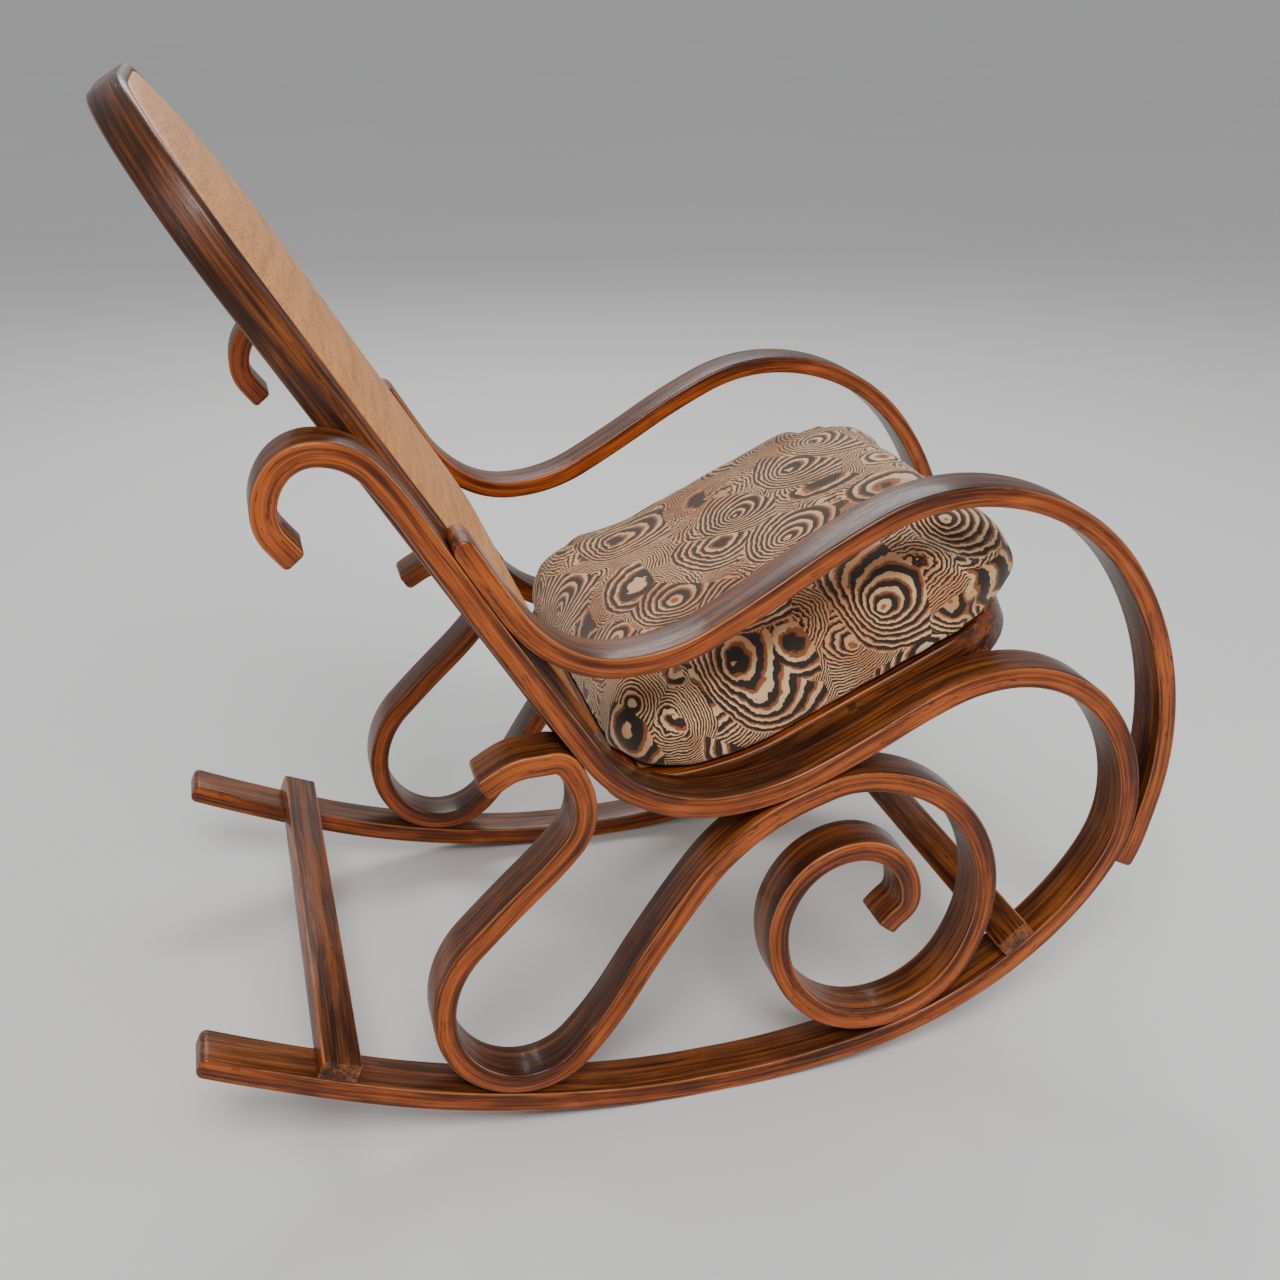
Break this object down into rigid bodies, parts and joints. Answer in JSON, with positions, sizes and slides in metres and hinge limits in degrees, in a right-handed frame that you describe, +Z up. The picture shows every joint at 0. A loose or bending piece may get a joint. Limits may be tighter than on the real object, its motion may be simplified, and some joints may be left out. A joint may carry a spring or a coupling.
{
  "type": "rocking chair",
  "caption": "Bentwood rocking chair with scrolled side planes, looped armrests, a tall hooped back with a crowned veneer panel and a printed seat cushion.",
  "frame": {"origin": "middle of the chair's outline seen from above, on the floor", "axes": "+X the way the sitter faces, +Y the sitter's left, +Z up"},
  "size_m": [0.9908, 0.57, 0.9829],
  "materials": {
    "stained_beech": "gloss",
    "pale_veneer": "satin",
    "birch_ply": "matte",
    "cushion_fabric": "matte",
    "screw_steel": "satin"
  },
  "bodies": {
    "root": {"back_hoop": "stained_beech", "back_lower_rail": "stained_beech", "back_panel": "pale_veneer", "front_crossbar": "stained_beech", "left_armrest": "stained_beech", "left_armrest_back_lower_screw": "screw_steel", "left_armrest_back_upper_screw": "screw_steel", "left_armrest_foot_screw": "screw_steel", "left_back_lower_screw": "screw_steel", "left_back_upper_screw": "screw_steel", "left_front_crossbar_screw": "screw_steel", "left_rear_crossbar_screw": "screw_steel", "left_scroll": "stained_beech", "left_scroll_back_screw": "screw_steel", "left_scroll_rocker_front_screw": "screw_steel", "left_scroll_rocker_rear_screw": "screw_steel", "left_scroll_seat_screw": "screw_steel", "left_seat_front_screw": "screw_steel", "left_seat_rear_screw": "screw_steel", "left_side_frame": "stained_beech", "rear_crossbar": "stained_beech", "right_armrest": "stained_beech", "right_armrest_back_lower_screw": "screw_steel", "right_armrest_back_upper_screw": "screw_steel", "right_armrest_foot_screw": "screw_steel", "right_back_lower_screw": "screw_steel", "right_back_upper_screw": "screw_steel", "right_front_crossbar_screw": "screw_steel", "right_rear_crossbar_screw": "screw_steel", "right_scroll": "stained_beech", "right_scroll_back_screw": "screw_steel", "right_scroll_rocker_front_screw": "screw_steel", "right_scroll_rocker_rear_screw": "screw_steel", "right_scroll_seat_screw": "screw_steel", "right_seat_front_screw": "screw_steel", "right_seat_rear_screw": "screw_steel", "right_side_frame": "stained_beech", "seat_board": "birch_ply", "seat_cushion": "cushion_fabric", "seat_ring": "stained_beech"}
  },
  "joints": []
}
